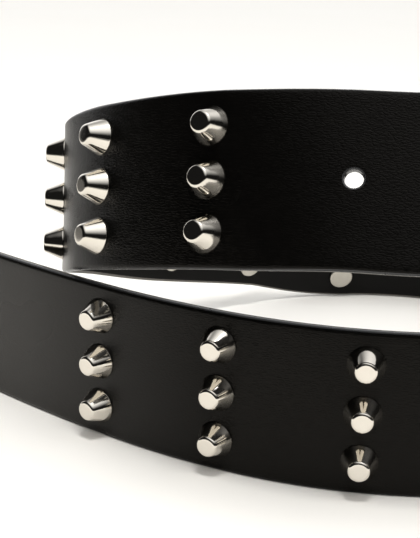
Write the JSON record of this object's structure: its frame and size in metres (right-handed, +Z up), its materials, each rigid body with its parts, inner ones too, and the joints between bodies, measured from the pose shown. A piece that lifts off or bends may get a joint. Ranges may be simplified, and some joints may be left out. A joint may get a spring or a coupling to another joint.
{
  "type": "studded belt",
  "caption": "Black leather belt with rows of cone-shaped metal studs, punched holes and a plain frame buckle, standing on its edge in a rising coil.",
  "frame": {"origin": "on the surface that the belt stands on, under the middle of its outline", "axes": "+Z up, +Y away from the front of the coil, +X to the right along the front; the tip's free end points to the right"},
  "size_m": [0.308, 0.1906, 0.1031],
  "materials": {
    "leather": "black smooth-grained leather with a soft sheen and painted edges",
    "stud_metal": "polished nickel plate",
    "buckle_metal": "polished nickel plate"
  },
  "bodies": {
    "root": {"strap": "leather", "buckle": "buckle_metal", "stud_01_top": "stud_metal", "stud_01_middle": "stud_metal", "stud_01_bottom": "stud_metal", "stud_02_top": "stud_metal", "stud_02_middle": "stud_metal", "stud_02_bottom": "stud_metal", "stud_03_top": "stud_metal", "stud_03_middle": "stud_metal", "stud_03_bottom": "stud_metal", "stud_04_top": "stud_metal", "stud_04_middle": "stud_metal", "stud_04_bottom": "stud_metal", "stud_05_top": "stud_metal", "stud_05_middle": "stud_metal", "stud_05_bottom": "stud_metal", "stud_06_top": "stud_metal", "stud_06_middle": "stud_metal", "stud_06_bottom": "stud_metal", "stud_07_top": "stud_metal", "stud_07_middle": "stud_metal", "stud_07_bottom": "stud_metal", "stud_08_top": "stud_metal", "stud_08_middle": "stud_metal", "stud_08_bottom": "stud_metal", "stud_09_top": "stud_metal", "stud_09_middle": "stud_metal", "stud_09_bottom": "stud_metal", "stud_10_top": "stud_metal", "stud_10_middle": "stud_metal", "stud_10_bottom": "stud_metal", "stud_11_top": "stud_metal", "stud_11_middle": "stud_metal", "stud_11_bottom": "stud_metal", "stud_12_top": "stud_metal", "stud_12_middle": "stud_metal", "stud_12_bottom": "stud_metal", "stud_13_top": "stud_metal", "stud_13_middle": "stud_metal", "stud_13_bottom": "stud_metal", "stud_14_top": "stud_metal", "stud_14_middle": "stud_metal", "stud_14_bottom": "stud_metal", "stud_15_top": "stud_metal", "stud_15_middle": "stud_metal", "stud_15_bottom": "stud_metal", "stud_16_top": "stud_metal", "stud_16_middle": "stud_metal", "stud_16_bottom": "stud_metal", "stud_17_top": "stud_metal", "stud_17_middle": "stud_metal", "stud_17_bottom": "stud_metal"}
  },
  "joints": []
}
